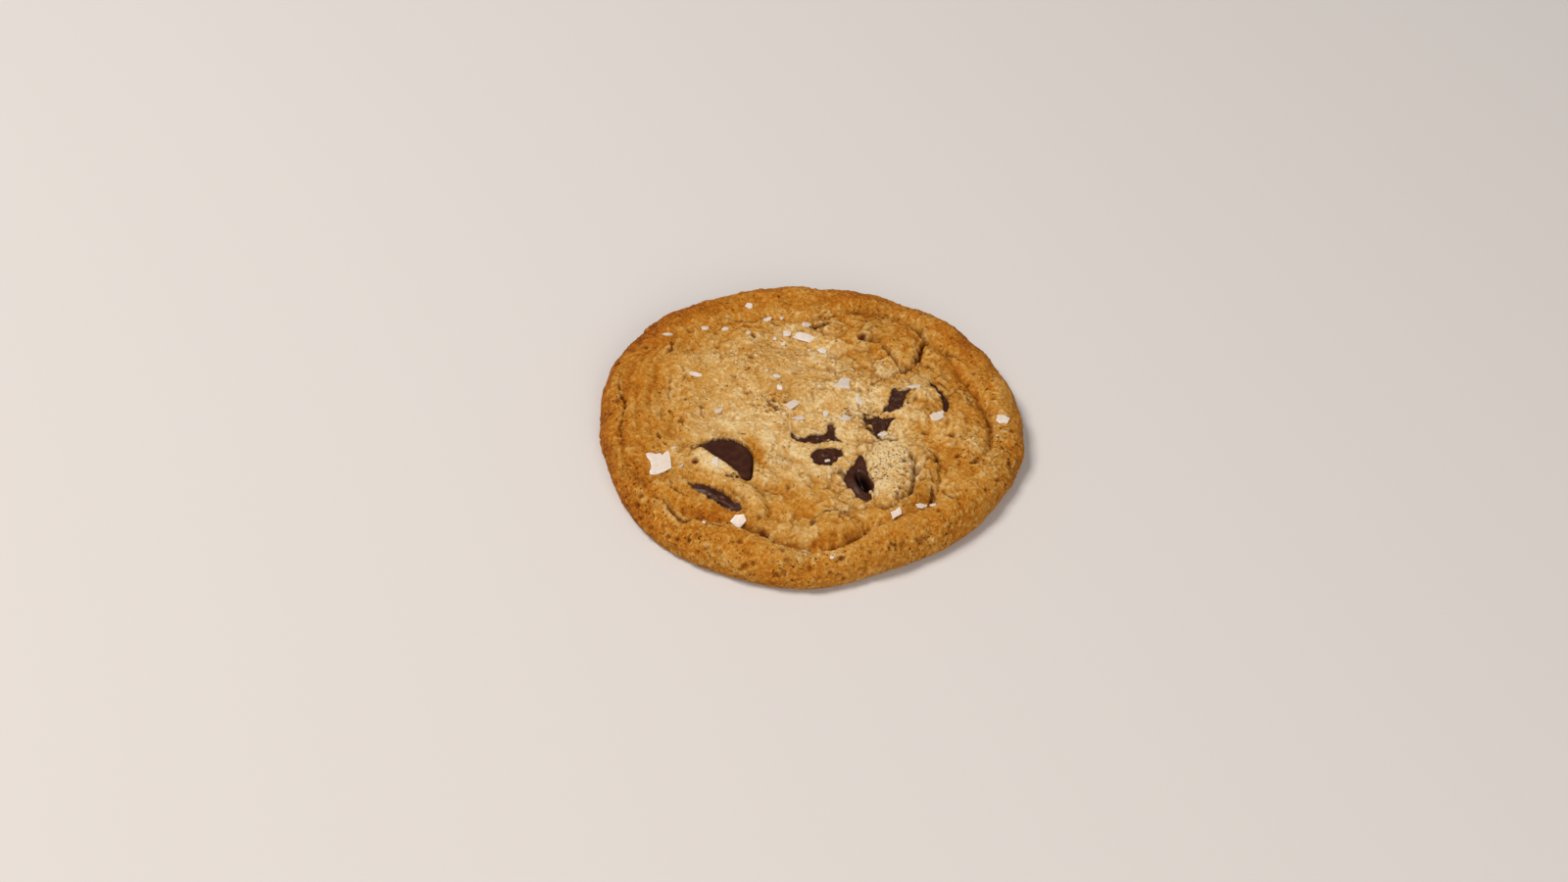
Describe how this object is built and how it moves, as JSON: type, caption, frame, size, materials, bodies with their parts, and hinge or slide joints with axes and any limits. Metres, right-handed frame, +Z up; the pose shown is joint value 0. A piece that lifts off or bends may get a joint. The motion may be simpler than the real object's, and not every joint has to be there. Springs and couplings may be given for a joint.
{
  "type": "chocolate chip cookie",
  "caption": "Flat round baked cookie with a raised browned rim, a low uneven dome, and pieces of dark chocolate showing in its top.",
  "frame": {"origin": "under the middle of the cookie's outline, on the flat underside it rests on", "axes": "+Z up through the cookie's thickness, +X to the right and +Y to the back as the cookie is seen from its front"},
  "size_m": [0.104, 0.1028, 0.0105],
  "materials": {
    "baked_dough": "matte, golden brown, porous baked crust, darker and redder towards the rim",
    "chocolate": "semi-gloss dark chocolate",
    "salt": "cloudy white crystal flakes"
  },
  "bodies": {
    "root": {"dough": "baked_dough", "chocolate_disc": "chocolate", "chocolate_left_slit": "chocolate", "chocolate_middle_sliver": "chocolate", "chocolate_middle_oval": "chocolate", "chocolate_front_crescent": "chocolate", "chocolate_cluster_left": "chocolate", "chocolate_cluster_right": "chocolate", "chocolate_cluster_front": "chocolate"}
  },
  "joints": []
}
